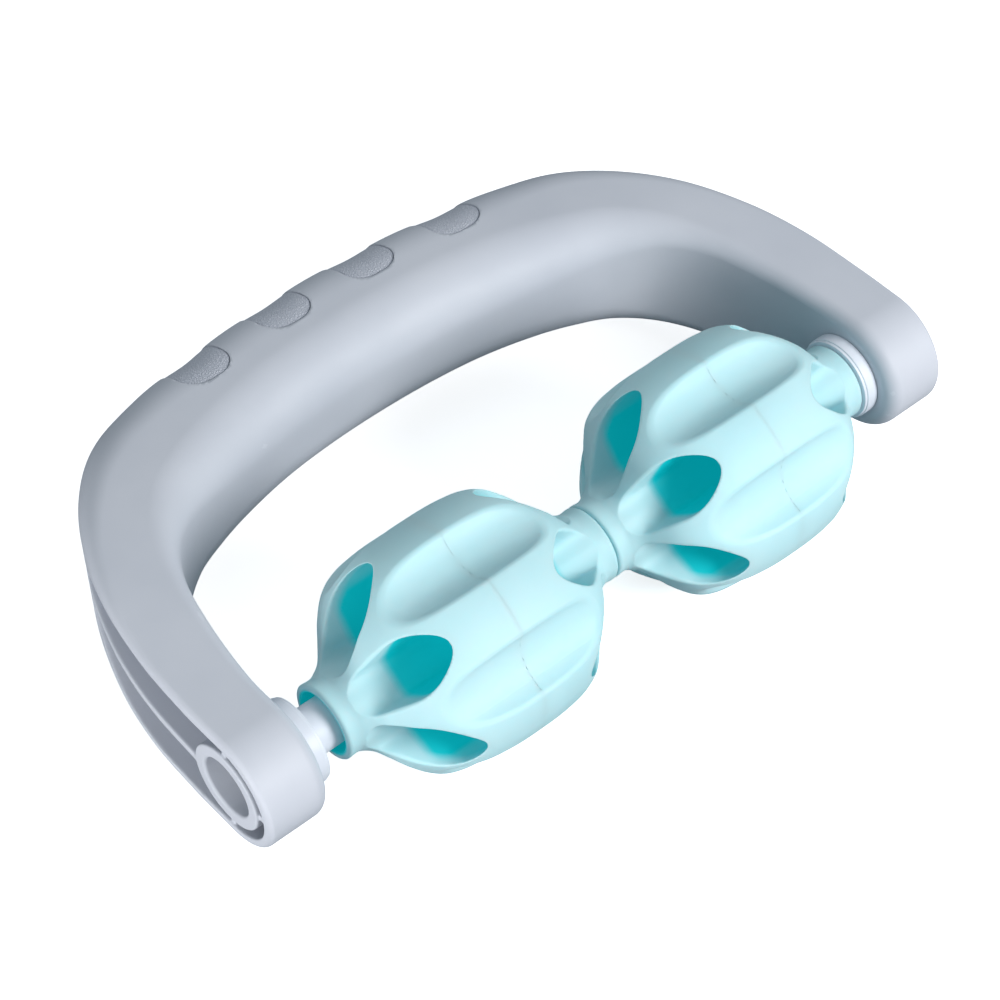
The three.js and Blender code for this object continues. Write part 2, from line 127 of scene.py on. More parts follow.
RECESS_DEPTH = 13.7
RECESS_FLOOR_ROUND = 1.2
RECESS_EDGE = 0.8
SPIGOT_RADIUS = 5  # of the bush, inside the arm
SPIGOT_CLEARANCE = 0.1
EDGE = 0.45  # rounding of the moulding's crisp edges

# ---- Finger pads ----
PAD_CENTRES_X = (-39.3, -13.1, 13.1, 39.3)
PAD_LENGTH = 14.4
PAD_CORNER = 6
PAD_DROP = 0.08  # how much further down the grip's side a pad reaches, for each millimetre from the middle
PAD_SET_BACK = 0.3
PAD_SEAT = 2.2
PAD_SEAT_EDGE = 0.3
PAD_CLEARANCE = 0.1
PAD_EDGE = 0.35
SCALLOP_DEPTH = 0.5  # from the crests between the fingers to the hollows at the pads
SCALLOP_CREST = 0.3  # how much of that stands out past the plain grip
SCALLOP_WIDTH = 6.5
SCALLOPS_END = 62  # distance from the middle where the scallops have faded out
SCALLOPS_FADE = 14  # length over which they do
SCALLOP_SIDE_START = 0.05  # half widths outwards where they start to come up
SCALLOP_SIDE_FADE = 0.6

# ---- Grids of the handle and the pads ----
# Rows are spaced in millimetres; places along are path steps, and across and up half widths and half heights.
ROW_SPACING = 0.95
PADS_ROW_SPACING, PADS_REACH = 0.62, 3.3
ARM_END_ROW_SPACING, ARM_END_REACH = 0.42, 1.6
PATH_OVERRUN = 0.9
PATH_SAMPLES = 8001
HANDLE_ACROSS = (-1.12, 1.12, 50)  # (start, end, points)
HANDLE_UP = [(-1.06, -0.08, 38), (-0.08, 0.08, 10), (0.08, 1.06, 38)]  # (start, end, steps) of each stretch
PAD_REACH, PAD_ROWS = 0.62, 44
PAD_ACROSS = (-0.35, 1.12, 50)
PAD_UP = (-1.06, 1.06, 84)

# ---- Rollers ----
LOBES = 6
LOBE_TURN = 2 * math.pi / LOBES
HUB_BORE = 7.94
HUB_END_ROUND = 0.8
SEAT_BORE = 8.35
SEAT_HALF_LENGTH = 27
BORE_EDGE = 0.25
HALVES_GAP = 0.004  # the halves' parting line is hair thin
HALVES_EDGE = 0.01
FIRST_FLUTE = math.radians(95)  # from +y towards +z
FLUTE_RADIUS = 9.6
FLUTE_CENTRE = 33.9
FLUTE_EDGE = 0.9
# Seen along the axle, a pocket's walls are the hull of two circles: (centre, radius).
POCKET_TOP = (20.7, 7.0)
POCKET_LOW = (13.6, 5.4)
POCKET_FLOOR = 10.02  # the floor carries on from the hub's round surface
POCKET_FLOOR_ROUND = 1.8
POCKET_END = 4
POCKET_END_ROUND = 2.5
POCKET_EDGES = [(20, 0.3), (29, 1), (32, 0.7), (34.5, 0.04)]  # rounding of the rim along the axle
PAINTED_SHADE_DEPTHS = (1, 3.5)  # below the barrel's surface, between which the painted pocket shade and glow come in
PAINTED_SHADE_ENDS = (25.2, 22.8)  # and between these distances from the roller's middle plane
BORE_SKIN = 0.1  # points this near to the bore are on it
ROLLER_PROFILE = [(0, 29.5), (9, 29.1), (15, 28.0), (19, 26.4), (23, 23.7), (27.5, 19.2), (31, 14.5),
                  (33.4, 11.4), (35.5, 10.05), (41, 10)]
SEAM_STEP = 0.1  # grid step next to the parting plane
RIM_DEPTH = 0.03  # points of a half's flat face that are nearer than this to the outside are on its rim
ROLLER_ALONG = [(-SEAM_STEP, 3 * SEAM_STEP, 4), (3 * SEAM_STEP, 34.5, 64), (34.5, 40.7, 12)]
ROLLER_RADII = [(7.1, 12, 10), (12, 26, 25), (26, 30.2, 20)]
STEPS_PER_LOBE = 50

# ---- Axle's parts ----
CRISP, EASED, ROUNDED = 0.1, 0.2, 0.3  # rounding of turned corners
LIP_LENGTH, LIP_STEP, LIP_CREASE = 0.7, 0.3, 0.05  # step down at the bush's face
BUSH_GAP = 0.1  # between the flange and the arm
ROD_CLEARANCE = 0.2
SLEEVE_CLEARANCE = 0.1
WASHER_BORE_ROUND, WASHER_ROUND = 0.15, 0.25
NUT_CHAMFER = 0.5
TURNED_SEGMENTS = 96
CORNER_STEPS = 5
TURNED_SHARP = math.radians(35)  # edges that turn by more than this stay sharp
NUT_SHARP = math.radians(28)
ROD_SHARP = math.radians(40)
ROD_SEGMENTS = 48
THREAD_PITCH = 1.0
THREAD_LENGTH = 16
THREAD_SLOPE = 0.55  # depth of the groove for one pitch along it
THREAD_RUN_OUT = 1.5
ROWS_PER_PITCH = 8
ROD_END_ROUND, ROD_END_CHAMFER = 0.35, 0.7
ROD_PLAIN_GAP, ROD_PLAIN_ROWS = 1, 40
ROD_SET_IN = 0.02

# ---- Meshing ----
SLOPE_REACH = 0.04  # in grid steps, on either side of a point, for the slopes of a field
STRETCH_REACH = 0.02  # the same for the stretch of the grid itself
PULL = 0.06  # of the middle of a cell's crossings on its point, where each crossing's plane pulls with 1
REFINEMENTS = 2
LONGEST_MOVE = 0.4  # of a point in one refinement, in grid steps
SPILL = 0.02  # how far a point may leave its cell
TINY = 1e-12
ROUND_THE_EDGE = ((-1, -1), (0, -1), (0, 0), (-1, 0))  # the four cells about a grid edge


class Grid:
    """Grid over three lists of coordinates, with a field that is negative inside the piece.

    place maps coordinates to points in millimetres. With wrap, the second axis is a full turn.
    """

    def __init__(self, axes, field, place, wrap):
        self.axes = axes
        self.field = field
        self.place = place
        self.wrap = wrap
        self.counts = [len(axis) for axis in axes]
        self.cells = [count - 1 for count in self.counts]
        if wrap:
            self.cells[1] = self.counts[1]

    def at(self, index):
        """Coordinates at fractional grid indices."""
        first, second, third = self.axes
        along = index[1]
        if self.wrap:
            second = np.append(second, 2 * second[-1] - second[-2])
            along = np.mod(along, self.counts[1])
        return (np.interp(index[0], np.arange(len(first)), first),
                np.interp(along, np.arange(len(second)), second),
                np.interp(index[2], np.arange(len(third)), third))

    def value(self, index):
        return self.field(*self.at(index))

    def point(self, index):
        return self.place(*self.at(index))

    def slopes(self, function, index, reach):
        """Slopes of a function of grid indices along the grid's three directions."""
        found = []
        for axis in range(3):
            shift = np.zeros((3, 1))
            shift[axis] = reach
            found.append((function(index + shift) - function(index - shift)) / (2 * reach))
        return np.array(found)

    def gradient(self, index):
        return self.slopes(self.value, index, SLOPE_REACH)

    def crossings(self):
        """Where the surface cuts the grid's edges, as (axis, edges, points, whether they start inside)."""
        values = self.field(*np.ix_(*self.axes))
        found = []
        for axis in range(3):
            if axis == 1 and self.wrap:
                near, far = values, np.roll(values, -1, 1)
            else:
                near = values[tuple(slice(None, -1) if k == axis else slice(None) for k in range(3))]
                far = values[tuple(slice(1, None) if k == axis else slice(None) for k in range(3))]
            edge = np.array(np.nonzero((near < 0) != (far < 0)))
            start, end = near[tuple(edge)], far[tuple(edge)]
            point = edge.astype(float)
            point[axis] += start / (start - end)
            for _ in range(REFINEMENTS):
                refined = point[axis] - self.value(point) / (end - start)
                point[axis] = np.clip(refined, edge[axis], edge[axis] + 1)
            found.append((axis, edge, point, start < 0))
        return found

    def corners(self):
        """Cells about each crossing, with its place in the cell and its normal, and the quads of cells."""
        ids, points, normals, quads = [], [], [], []
        for axis, edge, point, starts_inside in self.crossings():
            normal = self.gradient(point)
            normal /= np.linalg.norm(normal, axis=0) + TINY
            quad = []
            for step in ROUND_THE_EDGE:
                cell = edge.copy()
                cell[(axis + 1) % 3] += step[0]
                cell[(axis + 2) % 3] += step[1]
                points.append(point - cell)
                if self.wrap:
                    cell[1] = np.mod(cell[1], self.counts[1])
                quad.append((cell[0] * self.cells[1] + cell[1]) * self.cells[2] + cell[2])
                normals.append(normal)
            ids += quad
            quad = np.array(quad).T
            quad[~starts_inside] = quad[~starts_inside][:, ::-1]
            quads.append(quad)
        return np.concatenate(ids), np.concatenate(points, axis=1), np.concatenate(normals, axis=1), quads


def fit_points(slot, count, points, normals):
    """The place in each of count cells that lies best on the planes of its crossings."""
    def gather(weights):
        return np.bincount(slot, weights=weights, minlength=count)

    middle = np.array([gather(row) for row in points]) / gather(np.ones(len(slot)))
    offset = (normals * points).sum(0)
    matrix = np.empty((count, 3, 3))
    target = np.empty((count, 3))
    for i in range(3):
        target[:, i] = gather(normals[i] * offset) + PULL * middle[i]
        for j in range(3):
            matrix[:, i, j] = gather(normals[i] * normals[j]) + (PULL if i == j else 0)
    return np.clip(np.linalg.solve(matrix, target[..., None])[..., 0].T, 0, 1)


def dual_contour(axes, field, place, wrap=False):
    """Points, outward normals and quads of the surface where a field is 0 over a grid."""
    grid = Grid(axes, field, place, wrap)
    ids, points, normals, quads = grid.corners()
    cells, slot = np.unique(ids, return_inverse=True)
    base = np.array([cells // (grid.cells[1] * grid.cells[2]), cells // grid.cells[2] % grid.cells[1],
                     cells % grid.cells[2]])
    index = base + fit_points(slot, len(cells), points, normals)
    for _ in range(REFINEMENTS):
        slope = grid.gradient(index)
        move = grid.value(index) * slope / ((slope**2).sum(0) + TINY)
        index = base + np.clip(index - np.clip(move, -LONGEST_MOVE, LONGEST_MOVE) - base, -SPILL, 1 + SPILL)

    stretch = grid.slopes(grid.point, index, STRETCH_REACH).transpose(2, 0, 1)
    never_flat = 1e-9 * np.eye(3)
    normal = np.linalg.solve(stretch + never_flat, grid.gradient(index).T[..., None])[..., 0]
    normal /= np.linalg.norm(normal, axis=1, keepdims=True) + TINY
    faces = np.searchsorted(cells, np.concatenate(quads))
    if np.median(np.linalg.det(stretch)) < 0:
        faces = faces[:, ::-1]
    return grid.point(index).T, normal, faces


def graded(stretches):
    """Grid coordinates from (start, end, steps) stretches that follow one another."""
    parts = [np.linspace(start, end, steps, endpoint=False) for start, end, steps in stretches]
    return np.concatenate(parts + [[stretches[-1][1]]])


def new_piece(name, points, faces, material, body, node, normals=None):
    """A mesh object from points in millimetres about the axle, which stands for a CAD node on a body."""
    mesh = bpy.data.meshes.new(name)
    mesh.from_pydata((points * MM + np.array(AXLE)).tolist(), [], faces)
    mesh.validate()
    mesh.shade_smooth()
    if normals is not None:
        mesh.normals_split_custom_set_from_vertices(normals.tolist())
    mesh.materials.append(material)
    piece = bpy.data.objects.new(name, mesh)
    bpy.context.scene.collection.objects.link(piece)
    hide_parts(node)
    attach(piece, body)
    return piece


# ---- Distance fields ----
def cut_round(a, b, radius):
    """Where a and b overlap, with the edge between them rounded."""
    corner = np.hypot(np.maximum(a + radius, 0), np.maximum(b + radius, 0))
    return np.minimum(-radius, np.maximum(a, b)) + corner


def join_round(a, b, radius):
    """a and b together, with a fillet between them."""
    corner = np.hypot(np.maximum(radius - a, 0), np.maximum(radius - b, 0))
    return np.maximum(radius, np.minimum(a, b)) - corner


def rounded_rectangle(p, q, half_p, half_q, outer_round, inner_round):
    """Section whose corners are rounded by one radius on the +p side and another on the -p side."""
    largest = np.minimum(half_p, half_q) * 0.999
    radius = np.minimum(np.where(p > 0, outer_round, inner_round), largest)
    dp = np.abs(p) - half_p + radius
    dq = np.abs(q) - half_q + radius
    return np.minimum(np.maximum(dp, dq), 0) + np.hypot(np.maximum(dp, 0), np.maximum(dq, 0)) - radius


def catmull_rom(rows, position):
    """Values of a smooth curve through rows, at positions counted from mid-grip."""
    rows = np.asarray(rows, float)
    rows = np.vstack([2 * rows[0] - rows[1], rows, 2 * rows[-1] - rows[-2]])
    t = np.clip(np.asarray(position, float) + SPAN, 0, 2 * SPAN)
    k = np.minimum(t.astype(int), 2 * SPAN - 1)
    f = (t - k)[..., None]
    p0, p1, p2, p3 = rows[k], rows[k + 1], rows[k + 2], rows[k + 3]
    return p1 + f * ((p2 - p0) + f * ((2 * p0 - 5 * p1 + 4 * p2 - p3) + f * (3 * p1 - p0 - 3 * p2 + p3))) / 2


# ---- Handle ----
def both_arms(rows, mirror):
    """Rows from the left arm's end to the right one's, made from the right half's rows down to mid-grip."""
    return [np.multiply(row, mirror) for row in rows[:-1]] + list(rows[::-1])


outer_points, inner_points, sections = zip(*STATIONS)
OUTER = both_arms(outer_points, (-1, 1))
INNER = both_arms(inner_points, (-1, 1))
SECTION = both_arms(sections, (1, 1, 1))


def handle_frame(position):
    """Middle, outward direction, half width and section of the handle at path positions."""
    outer, inner = catmull_rom(OUTER, position), catmull_rom(INNER, position)
    section = catmull_rom(SECTION, position)
    outward = outer - inner
    width = np.linalg.norm(outward, axis=-1)
    beyond = np.maximum(np.abs(position) - SPAN, 0) * BEYOND
    middle = (outer + inner) / 2
    middle = np.stack([middle[..., 0], middle[..., 1] - beyond], -1)
    return middle, outward / width[..., None], width / 2, section


def handle_place(position, p, q):
    """Point at path position, p half widths outwards and q half heights up."""
    middle, outward, half_width, section = handle_frame(position)
    shape = np.broadcast(position, p, q).shape
    x = np.broadcast_to(middle[..., 0] + outward[..., 0] * p * half_width, shape)
    y = np.broadcast_to(middle[..., 1] + outward[..., 1] * p * half_width, shape)
    z = np.broadcast_to(q * section[..., 0], shape)
    return np.array([x, y, z])


def pad_plan(x, y, centre, growth):
    """Plan of a finger pad: a rounded rectangle, open towards the outside of the grip."""
    inner_y = GRIP_OUTER_Y - GRIP_THICKNESS / 2 - PAD_DROP * abs(centre)
    dx = np.abs(x - centre) - PAD_LENGTH / 2 + PAD_CORNER
    dy = inner_y - y + PAD_CORNER
    corner = np.hypot(np.maximum(dx, 0), np.maximum(dy, 0))
    return np.minimum(np.maximum(dx, dy), 0) + corner - PAD_CORNER - growth


def handle_skin(position, p, q, x, y, z):
    """Distance to the handle's outer skin with the finger hollows, without its cuts."""
    _, _, half_width, section = handle_frame(position)
    half_height, outer_round, inner_round = np.moveaxis(section, -1, 0)
    reach = np.where(y < 0, np.hypot(y, z), np.abs(z))
    skin = rounded_rectangle(p * half_width, reach, half_width, half_height, outer_round, inner_round)
    hollow = sum(np.exp(-(((x - centre) / SCALLOP_WIDTH) ** 2)) for centre in PAD_CENTRES_X)
    on_grip = np.clip((SCALLOPS_END - np.abs(x)) / SCALLOPS_FADE, 0, 1)
    outer_side = np.clip((p - SCALLOP_SIDE_START) / SCALLOP_SIDE_FADE, 0, 1)
    outer_side = outer_side * outer_side * (3 - 2 * outer_side)
    return skin + outer_side * on_grip * (SCALLOP_DEPTH * hollow - SCALLOP_CREST)


def channel_field(position, p, y, z):
    """Distance to the open channel in an arm's outer side, which narrows to a tip towards the grip."""
    _, _, half_width, section = handle_frame(position)
    tip = SPAN - CHANNEL_TIP
    taper = np.clip((np.abs(position) - tip) / (CHANNEL_TIP - CHANNEL_TAPER_START), 0, 1)
    fullness = np.sqrt(1 - (1 - taper) ** 2)
    depth = (2 * half_width - FLOOR_WALL) * fullness
    reach = np.where(y < 0, np.hypot(y, z), np.abs(z))
    channel = cut_round(half_width - depth - p * half_width, reach - (section[..., 0] - WALL) * fullness,
                        CHANNEL_CORNER)
    return channel + np.clip(tip + TIP_MARGIN - np.abs(position), 0, 1) * FILLED


def rib_field(out_x, y, z, radius):
    """Distance to the channel's boss, its mid rib and the three small ribs around the boss."""
    boss = radius - BOSS_RADIUS
    spine = np.maximum(np.abs(z) - MID_RIB / 2, -y)
    low_top = out_x - (ARM_OUTER_X - SMALL_RIB_SET_BACK)
    upright = cut_round(np.abs(y) - SMALL_RIB / 2, low_top, SMALL_RIB_EDGE)
    nose = cut_round(np.maximum(np.abs(z) - SMALL_RIB / 2, y), low_top, SMALL_RIB_EDGE)
    return join_round(join_round(boss, spine, RIB_FILLET), np.minimum(upright, nose), SMALL_RIB_FILLET)


def handle_field(position, p, q):
    """Distance to the handle, with its channels, recesses, pad seats and spigot bores."""
    x, y, z = handle_place(position, p, q)
    skin = handle_skin(position, p, q, x, y, z)
    out_x = np.abs(x)
    radius = np.hypot(y, z)
    channel = channel_field(position, p, y, z)
    ribs = rib_field(out_x, y, z, radius)
    body = cut_round(skin, -cut_round(channel, -ribs, RIB_FILLET), EDGE)
    recess = cut_round(radius - RECESS_RADIUS, ARM_OUTER_X - RECESS_DEPTH - out_x, RECESS_FLOOR_ROUND)
    body = cut_round(body, -recess, RECESS_EDGE)
    seats = np.minimum.reduce([pad_plan(x, y, centre, PAD_CLEARANCE) for centre in PAD_CENTRES_X])
    body = cut_round(body, -np.maximum(seats, -skin - PAD_SEAT), PAD_SEAT_EDGE)
    return np.maximum(body, SPIGOT_RADIUS + SPIGOT_CLEARANCE - radius)


def row_spacing(position):
    """Millimetres between the handle grid's rows: closest at the arms' ends, then along the pads."""
    near_axle = np.abs(position) > SPAN - ARM_END_REACH
    near_pads = np.abs(position) < PADS_REACH
    return np.where(near_axle, ARM_END_ROW_SPACING, np.where(near_pads, PADS_ROW_SPACING, ROW_SPACING))


def handle_rows():
    """Path positions of the handle grid's rows."""
    fine = np.linspace(-SPAN - PATH_OVERRUN, SPAN + PATH_OVERRUN, PATH_SAMPLES)
    middle = handle_place(fine, np.zeros_like(fine), np.zeros_like(fine))[:2]
    steps = np.hypot(*np.diff(middle, axis=1))
    between = (fine[1:] + fine[:-1]) / 2
    rows = np.concatenate([[0], np.cumsum(steps / row_spacing(between))])
    return np.interp(np.linspace(0, rows[-1], int(rows[-1]) + 1), rows, fine)


def build_handle(material):
    axes = (handle_rows(), np.linspace(*HANDLE_ACROSS), graded(HANDLE_UP))
    points, normals, faces = dual_contour(axes, handle_field, handle_place)
    new_piece("handle_moulding", points, faces, material, "frame", "handle_body", normals)


def build_pad(number, centre, material):
    def field(position, p, q):
        x, y, z = handle_place(position, p, q)
        skin = handle_skin(position, p, q, x, y, z)
        shell = np.maximum(skin + PAD_SET_BACK, -skin - PAD_SEAT + PAD_CLEARANCE)
        return cut_round(pad_plan(x, y, centre, 0), shell, PAD_EDGE)

    positions = range(-3, 4)  # those of the stations along the pads
    middle = np.interp(centre, [OUTER[SPAN + k][0] for k in positions], positions)
    rows = np.linspace(middle - PAD_REACH, middle + PAD_REACH, PAD_ROWS)
    axes = (rows, np.linspace(*PAD_ACROSS), np.linspace(*PAD_UP))
    points, normals, faces = dual_contour(axes, field, handle_place)
    new_piece(f"finger_pad_{number}_moulding", points, faces, material, "frame", f"finger_pad_{number}",
              normals)


def build_pads(material):
    for number, centre in enumerate(PAD_CENTRES_X, 1):
        build_pad(number, centre, material)


# ---- Rollers ----
def roller_profile(u):
    """Radius of the plain barrel at a distance from its middle plane, and the slope there."""
    x, r = np.transpose(ROLLER_PROFILE)
    slope = np.gradient(r, x)
    slope[0] = 0
    slope[-1] = 0
    u = np.clip(u, 0, x[-1] - 1e-6)
    k = np.searchsorted(x, u, side="right") - 1
    h = x[k + 1] - x[k]
    f = (u - x[k]) / h
    a, b, m0, m1 = r[k], r[k + 1], slope[k] * h, slope[k + 1] * h
    value = a + f * m0 + f**2 * (3 * (b - a) - 2 * m0 - m1) + f**3 * (2 * (a - b) + m0 + m1)
    tilt = (m0 + 2 * f * (3 * (b - a) - 2 * m0 - m1) + 3 * f**2 * (2 * (a - b) + m0 + m1)) / h
    return value, tilt


def roller_place(u, turn, radius):
    """Point at a distance u from the middle plane and a turn and radius about the axle."""
    shape = np.broadcast(u, turn, radius).shape
    return np.array([np.broadcast_to(u, shape), radius * np.cos(turn) + 0 * u, radius * np.sin(turn) + 0 * u])


def fluted_barrel(u, turn, radius):
    """Distance to the roller's outer shape: the barrel with its flutes, without pockets or bore."""
    barrel_radius, tilt = roller_profile(u)
    barrel = (radius - barrel_radius) / np.sqrt(1 + tilt**2)
    to_flute = np.mod(turn - FIRST_FLUTE + LOBE_TURN / 2, LOBE_TURN) - LOBE_TURN / 2
    across, up = radius * np.sin(to_flute), radius * np.cos(to_flute)
    flute = np.hypot(across, up - FLUTE_CENTRE) - FLUTE_RADIUS
    return cut_round(barrel, -flute, FLUTE_EDGE)


def outline_normals(y, z, step=0.01):
    """Normals of the roller's outline in its middle plane."""
    def outline(y, z):
        return fluted_barrel(0.0, np.arctan2(z, y), np.hypot(y, z))

    slopes = np.array([np.zeros_like(y), outline(y + step, z) - outline(y - step, z),
                       outline(y, z + step) - outline(y, z - step)])
    return (slopes / np.linalg.norm(slopes, axis=0)).T


def pocket_field(u, turn, radius):
    """Distance to a roller half's pockets, whose walls are seen along the axle as the hull of two circles."""
    to_pocket = np.mod(turn - FIRST_FLUTE, LOBE_TURN) - LOBE_TURN / 2
    across, up = np.abs(radius * np.sin(to_pocket)), radius * np.cos(to_pocket) - POCKET_LOW[0]
    height = POCKET_TOP[0] - POCKET_LOW[0]
    lean = (POCKET_LOW[1] - POCKET_TOP[1]) / height
    rise = math.sqrt(1 - lean**2)
    along = up * rise - across * lean
    low_circle = np.hypot(across, up) - POCKET_LOW[1]
    top_circle = np.hypot(across, up - height) - POCKET_TOP[1]
    flank = across * rise + up * lean - POCKET_LOW[1]
    hull = np.where(along < 0, low_circle, np.where(along > rise * height, top_circle, flank))
    pocket = cut_round(hull, POCKET_FLOOR - radius, POCKET_FLOOR_ROUND)
    return cut_round(pocket, POCKET_END - u, POCKET_END_ROUND)


def roller_field(u, turn, radius):
    """The half roller on its +u side."""
    pocket_edge = np.interp(u, *np.transpose(POCKET_EDGES))
    body = cut_round(fluted_barrel(u, turn, radius), -pocket_field(u, turn, radius), pocket_edge)
    body = cut_round(body, u - ROLLER_HALF_LENGTH, HUB_END_ROUND)
    bore = radius - np.where(u < SEAT_HALF_LENGTH, SEAT_BORE, HUB_BORE)
    body = cut_round(body, -bore, BORE_EDGE)
    return cut_round(body, HALVES_GAP - u, HALVES_EDGE)


def roller_half():
    """Points, normals and quads of a half on its +u side, and how much painted shade and glow each point
    takes.
    """
    turns = np.arange(LOBES * STEPS_PER_LOBE) * (2 * math.pi / (LOBES * STEPS_PER_LOBE))
    axes = (graded(ROLLER_ALONG), turns, graded(ROLLER_RADII))
    points, normals, faces = dual_contour(axes, roller_field, roller_place, wrap=True)
    turn = np.arctan2(points[:, 2], points[:, 1])
    radius = np.hypot(points[:, 1], points[:, 2])
    depth = -fluted_barrel(points[:, 0], turn, radius)
    rim = (points[:, 0] < SEAM_STEP) & (depth < RIM_DEPTH)
    normals[rim] = outline_normals(points[rim, 1], points[rim, 2])  # the two halves' surfaces run on as one
    points[rim, 0] = HALVES_GAP
    # Painted shade and glow, standing in for light bounced inside the plastic: deep in the pockets away from
    # the hub ends, and all through the bore.
    deep = np.interp(depth, PAINTED_SHADE_DEPTHS, (0, 1))
    far_in = np.interp(-points[:, 0], np.negative(PAINTED_SHADE_ENDS), (0, 1))
    hollow = np.maximum(deep * far_in, radius < SEAT_BORE + BORE_SKIN).astype(np.float32)
    return points, normals, faces, hollow


def build_rollers(material):
    points, normals, faces, hollow = roller_half()
    for side, outwards in (("left", -1), ("right", 1)):
        outer_x = cad_box_mm(f"{side}_roller_outer_half")
        inner_x = cad_box_mm(f"{side}_roller_inner_half")
        centre = (min(outer_x[0][0], inner_x[0][0]) + max(outer_x[1][0], inner_x[1][0])) / 2
        for part, direction in (("outer", outwards), ("inner", -outwards)):
            turned = np.array([direction, 1, 1])
            piece = new_piece(f"{side}_roller_{part}_moulding", points * turned + [centre, 0, 0],
                              faces[:, ::direction], material, f"{side}_roller",
                              f"{side}_roller_{part}_half", normals * turned)
            # The hollow attribute carries each point's painted shade and glow.
            piece.data.attributes.new("hollow", "FLOAT", "POINT").data.foreach_set("value", hollow)


# ---- Turned parts ----
HOLE = ROD_RADIUS + ROD_CLEARANCE  # through each piece on the rod


def rounded_outline(corners):
    """Closed outline of (x, radius, rounding) corners with each corner rounded."""
    outline = []
    for i, (x, r, rounding) in enumerate(corners):
        here = np.array([x, r], float)
        before = np.array(corners[i - 1][:2], float) - here
        after = np.array(corners[(i + 1) % len(corners)][:2], float) - here
        before /= np.linalg.norm(before)
        after /= np.linalg.norm(after)
        half_angle = math.acos(np.clip(before @ after, -1, 1)) / 2
        reach = rounding / math.tan(half_angle)
        bisector = (before + after) / np.linalg.norm(before + after)
        centre = here + bisector * rounding / math.sin(half_angle)
        start, end = here + before * reach - centre, here + after * reach - centre
        total = math.atan2(start[0] * end[1] - start[1] * end[0], start @ end)
        for k in range(CORNER_STEPS + 1):
            c, s = math.cos(total * k / CORNER_STEPS), math.sin(total * k / CORNER_STEPS)
            outline.append(centre + [c * start[0] - s * start[1], s * start[0] + c * start[1]])
    return np.array(outline)


def lathe(corners):
    """Points and faces of a ring about the x axis."""
    outline = rounded_outline(corners)
    count = len(outline)
    turns = np.arange(TURNED_SEGMENTS) * (2 * math.pi / TURNED_SEGMENTS)
    points = np.array([[x, r * math.cos(t), r * math.sin(t)] for t in turns for x, r in outline])
    faces = []
    for i in range(TURNED_SEGMENTS):
        j = (i + 1) % TURNED_SEGMENTS
        for k in range(count):
            m = (k + 1) % count
            faces.append((i * count + k, i * count + m, j * count + m, j * count + k))
    return points, np.array(faces)


def build_turned(name, corners, material, body, node, mirror=False):
    """Turned piece from the corners of its outline; with mirror, that of its twin on the right."""
    points, faces = lathe(corners)
    if mirror:
        points = points * [-1, 1, 1]
        faces = faces[:, ::-1]
    area = sum(corners[i - 1][0] * c[1] - c[0] * corners[i - 1][1] for i, c in enumerate(corners))
    if area > 0:
        faces = faces[:, ::-1]
    piece = new_piece(name, points, faces, material, body, node)
    piece.data.set_sharp_from_angle(angle=TURNED_SHARP)


def near_and_far(node):
    """Distances along the axle from its middle to a CAD node's near and far end."""
    low, high = cad_box_mm(node)
    return sorted((abs(low[0]), abs(high[0])))


def build_tube(white):
    end = cad_box_mm("axle_tube")[1][0]
    corners = [(-end, HOLE, CRISP), (-end, TUBE_RADIUS, EASED), (end, TUBE_RADIUS, EASED), (end, HOLE, CRISP)]
    build_turned("axle_tube_extrusion", corners, white, "frame", "axle_tube")


def build_bush(side, white):
    """Flange between tube and arm, with a small step at its face, and a spigot into the arm."""
    step_x, lip_radius = BUSH_FACE_X + LIP_LENGTH, BUSH_RADIUS - LIP_STEP
    seat_x = ARM_INNER_X - BUSH_GAP
    corners = [(BUSH_FACE_X, HOLE, EASED), (BUSH_FACE_X, lip_radius, EASED), (step_x, lip_radius, LIP_CREASE),
               (step_x, BUSH_RADIUS, ROUNDED), (seat_x, BUSH_RADIUS, EASED), (seat_x, SPIGOT_RADIUS, CRISP),
               (BUSH_END_X, SPIGOT_RADIUS, ROUNDED), (BUSH_END_X, HOLE, EASED)]
    build_turned(f"{side}_axle_bush_moulding", corners, white, "frame", f"{side}_axle_bush",
                 mirror=side == "left")


def build_washer(side, steel):
    near, far = near_and_far(f"{side}_washer")
    rim = cad_box_mm(f"{side}_washer")[1][1]
    corners = [(near, HOLE, WASHER_BORE_ROUND), (near, rim, WASHER_ROUND), (far, rim, WASHER_ROUND),
               (far, HOLE, WASHER_BORE_ROUND)]
    build_turned(f"{side}_washer_stamping", corners, steel, "frame", f"{side}_washer",
                 mirror=side == "left")


def build_nut(side, steel):
    """Hexagonal nut with its corners chamfered on both faces."""
    near, far = near_and_far(f"{side}_nut")
    _, high = cad_box_mm(f"{side}_nut")
    sixth = math.pi / 3
    corner = max(high[1], high[2])
    flat = corner * math.cos(sixth / 2)
    points, faces = lathe([(near, HOLE, ROUNDED), (near, flat, EASED), (near + NUT_CHAMFER, corner, EASED),
                           (far - NUT_CHAMFER, corner, EASED), (far, flat, EASED), (far, HOLE, ROUNDED)])
    turn = np.arctan2(points[:, 2], points[:, 1])
    radius = np.hypot(points[:, 1], points[:, 2])
    first_corner = 0 if high[1] > high[2] else sixth / 2
    hexagon = flat / np.cos(np.mod(turn - first_corner, sixth) - sixth / 2)
    shrink = np.minimum(1, hexagon / radius)
    points = points * np.stack([np.ones_like(shrink), shrink, shrink], 1)
    if side == "left":
        points = points * [-1, 1, 1]
        faces = faces[:, ::-1]
    piece = new_piece(f"{side}_nut_forging", points, faces, steel, "frame", f"{side}_nut")
    piece.data.set_sharp_from_angle(angle=NUT_SHARP)


